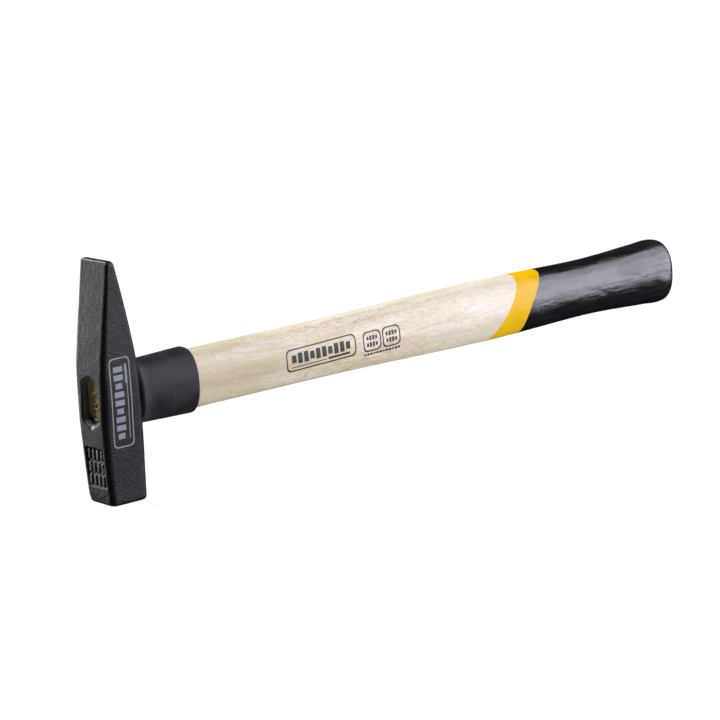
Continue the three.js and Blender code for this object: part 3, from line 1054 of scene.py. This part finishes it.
def print_on(name, shapes, surface, under, material):
    """Lays flat shapes on a piece as a thin film. surface gives a point near it and a normal."""
    tree = BVHTree.FromObject(under, bpy.context.evaluated_depsgraph_get())
    verts, faces = [], []
    for shape_verts, shape_faces in shapes:
        first = len(verts)
        count = len(shape_verts)
        tops, roots = [], []
        for u, v in shape_verts:
            point, normal = surface(u, v)
            hit = tree.ray_cast(point + normal * MM, -normal)[0]
            point = hit if hit is not None else point
            tops.append(point + normal * INK_FILM)
            roots.append(point - normal * 0.12 * MM)
        verts += tops + roots
        edges = {}
        for face in shape_faces:
            faces.append(tuple(first + i for i in face))
            faces.append(tuple(first + count + i for i in reversed(face)))
            for i, a in enumerate(face):
                b = face[(i + 1) % len(face)]
                edges[(a, b)] = edges.get((a, b), 0) + 1
        for a, b in edges:
            if (b, a) not in edges:
                faces.append((first + b, first + a, first + count + a, first + count + b))
    obj = facing_out(new_object(name, verts, faces))
    return part(obj, (), material)


def cheek_surface(u, v):
    """u runs up the cheek on the -Y side, v across it towards the handle."""
    point = Vector((v, -head_half_width(u), u))
    return point, Vector((0, -1, 0))


def block_row(length, height, count, fill):
    """A row of plain upright blocks, tall and short in turn."""
    shapes = []
    pitch = length / count
    for i in range(count):
        tall = height * (1.0 if i % 3 else 0.72)
        x = pitch * (i - (count - 1) / 2)
        shapes.append(bar_shape(x, 0, pitch * fill, tall))
    return shapes


def cheek_print(head):
    middle_z, middle_x = CHEEK_PRINT_MIDDLE
    shapes = [frame_shape(30.4 * MM, 8.3 * MM, 1.6 * MM, 0.42 * MM)]
    shapes += [shifted(s, 0, -0.75 * MM) for s in block_row(25.5 * MM, 3.7 * MM, 9, 0.66)]
    shapes.append(bar_shape(-3.0 * MM, 2.55 * MM, 19 * MM, 0.32 * MM))
    shapes.append(bar_shape(9.6 * MM, 2.35 * MM, 6.4 * MM, 0.9 * MM))

    def surface(u, v):
        return cheek_surface(middle_z + u, middle_x + v)

    material = ink("white_ink", (0.20, 0.21, 0.235), (0.27, 0.285, 0.31))
    print_on("cheek_print", shapes, surface, head, material)


def handle_surface(x, height):
    """A point on the -Y side of the grip, at a height over its axis."""
    half_height, half_width = grip_size(x)
    share = max(-1.0, min(1.0, height / half_height))
    reach = (1 - abs(share) ** SECTION_POWER) ** (1 / SECTION_POWER)
    point = Vector((x, -half_width * reach, AXIS_Z + height))
    slope = abs(share) ** (SECTION_POWER - 1)
    normal = Vector((
        0,
        -reach ** (SECTION_POWER - 1) / half_width,
        math.copysign(slope, share) / half_height,
    ))
    return point, normal.normalized()


def handle_print(handle):
    material = ink("dark_ink", (0.014, 0.013, 0.013), (0.032, 0.028, 0.026))
    shapes = [shifted(frame_shape(30.6 * MM, 8.0 * MM, 1.9 * MM, 0.48 * MM), 0.3 * MM, 0)]
    shapes += [shifted(s, 0.2 * MM, 0.4 * MM) for s in block_row(26.4 * MM, 3.7 * MM, 10, 0.72)]
    shapes.append(bar_shape(-5.2 * MM, -2.55 * MM, 15.5 * MM, 0.3 * MM))
    shapes.append(bar_shape(7.9 * MM, -2.4 * MM, 9.6 * MM, 0.8 * MM))
    for middle in SMALL_FRAMES:
        square = frame_shape(8.0 * MM, 7.3 * MM, 1.8 * MM, 0.48 * MM)
        shapes.append(shifted(square, middle, -0.4 * MM))
        for row in MARK_ROWS:
            for s in block_row(5.2 * MM, 1.7 * MM, 4, 0.7):
                shapes.append(shifted(s, middle, row))
    shapes += [shifted(s, 27.2 * MM, -5.05 * MM) for s in block_row(16.5 * MM, 0.8 * MM, 12, 0.75)]
    tilt = HANDLE_PRINT_TILT
    middle_x, middle_height = HANDLE_PRINT_MIDDLE

    def surface(u, v):
        x = u * math.cos(tilt) - v * math.sin(tilt)
        height = u * math.sin(tilt) + v * math.cos(tilt)
        return handle_surface(middle_x + x, middle_height + height)

    print_on("handle_print", shapes, surface, handle, material)


# ---- Stage ----------------------------------------------------------------------------------

def direction(azimuth, elevation):
    """A unit vector, azimuth from +X towards +Y, in degrees."""
    a, e = math.radians(azimuth), math.radians(elevation)
    return Vector((math.cos(a) * math.cos(e), math.sin(a) * math.cos(e), math.sin(e)))


def softbox(name, aim, azimuth, elevation, tilt, width, height, radiance, tint, rise=0.0):
    """A soft light, tilted from upright and moved by rise along its own upright side."""
    data = bpy.data.lights.new(name, "AREA")
    data.shape = "RECTANGLE"
    data.size = width
    data.size_y = height
    data.energy = radiance * math.pi * width * height
    data.color = tint
    lamp = bpy.data.objects.new(name, data)
    bpy.context.scene.collection.objects.link(lamp)
    away = direction(azimuth, elevation)
    side = Vector((0, 0, 1)).cross(away).normalized()
    upright = away.cross(side)
    lean = math.radians(tilt)
    tall = upright * math.cos(lean) + side * math.sin(lean)
    turn = Matrix((tall.cross(away), tall, away)).transposed().to_4x4()
    lamp.matrix_world = Matrix.Translation(aim + away * LIGHT_DISTANCE + tall * rise) @ turn
    lamp.visible_camera = False
    return lamp


def build_stage():
    # The world and the floor are only what the camera sees behind the hammer. The softboxes light
    # it, and the table light stands in for what a white table throws back.
    scene = bpy.context.scene
    scene.view_settings.view_transform = "Standard"
    world = bpy.data.worlds.new("white_room")
    scene.world = world
    world.use_nodes = True
    background = world.node_tree.nodes["Background"]
    background.inputs["Color"].default_value = (1, 1, 1, 1)
    background.inputs["Strength"].default_value = 1.0
    world.cycles_visibility.diffuse = False
    world.cycles_visibility.glossy = False

    reach = FLOOR_REACH
    corners = [(-reach, -reach, 0), (reach, -reach, 0), (reach, reach, 0), (-reach, reach, 0)]
    floor = new_object("floor", corners, [(0, 1, 2, 3)])
    s = Shader("pale_floor", Roughness=0.9)
    s.bsdf.inputs["Base Color"].default_value = (0.10, 0.10, 0.10, 1)
    s.bsdf.inputs["Emission Color"].default_value = (1, 1, 1, 1)
    s.bsdf.inputs["Emission Strength"].default_value = 0.92
    floor.data.materials.append(s.material)
    floor.visible_glossy = False
    floor.visible_diffuse = False
    floor.visible_shadow = False

    aim = Vector(LIGHT_AIM)
    blue, white = (0.96, 0.97, 1.08), (0.99, 1.0, 1.0)
    softbox("key_softbox", aim, -40, 22, 24, 2.6, 2.6, 5.1, blue, rise=-0.80)
    softbox("upper_key_softbox", aim, -40, 22, 24, 2.6, 1.6, 3.2, blue, rise=1.30)
    softbox("top_softbox", aim, -60, 72, 0, 2.0, 2.0, 1.2, white)
    softbox("back_softbox", aim, 112, 38, 0, 1.9, 1.3, 17.0, white)
    softbox("low_back_softbox", aim, 100, -1, 0, 2.8, 1.6, 4.3, white)
    table = softbox("table_light", aim, 0, -89, 0, 12.0, 12.0, 0.82, (1.0, 1.0, 0.99))
    table.visible_glossy = False


def build_camera():
    """The camera stands where the aim, bearing and distance put it, turned a little."""
    azimuth, elevation, roll = (math.radians(angle) for angle in CAMERA_TURN)
    aim = Vector(CAMERA_AIM)
    back = Vector((
        math.sin(azimuth) * math.cos(elevation),
        -math.cos(azimuth) * math.cos(elevation),
        math.sin(elevation),
    ))
    level = Vector((math.cos(azimuth), math.sin(azimuth), 0))
    up = back.cross(level)
    right = level * math.cos(roll) + up * math.sin(roll)
    top = up * math.cos(roll) - level * math.sin(roll)
    data = bpy.data.cameras.new("camera")
    data.sensor_width = 36
    data.lens = CAMERA_LENS
    data.clip_end = 60
    camera = bpy.data.objects.new("camera", data)
    bpy.context.scene.collection.objects.link(camera)
    turn = Matrix((right, top, back)).transposed().to_4x4()
    camera.matrix_world = Matrix.Translation(aim + back * CAMERA_DISTANCE) @ turn
    bpy.context.scene.camera = camera


# ---- The hammer -----------------------------------------------------------------------------

build_camera()
build_stage()
hammer_head = build_head()
handle = build_handle()
build_sleeve()
build_ring("ring_wedge_upper")
build_ring("ring_wedge_lower")
build_resin()
cheek_print(hammer_head)
handle_print(handle)
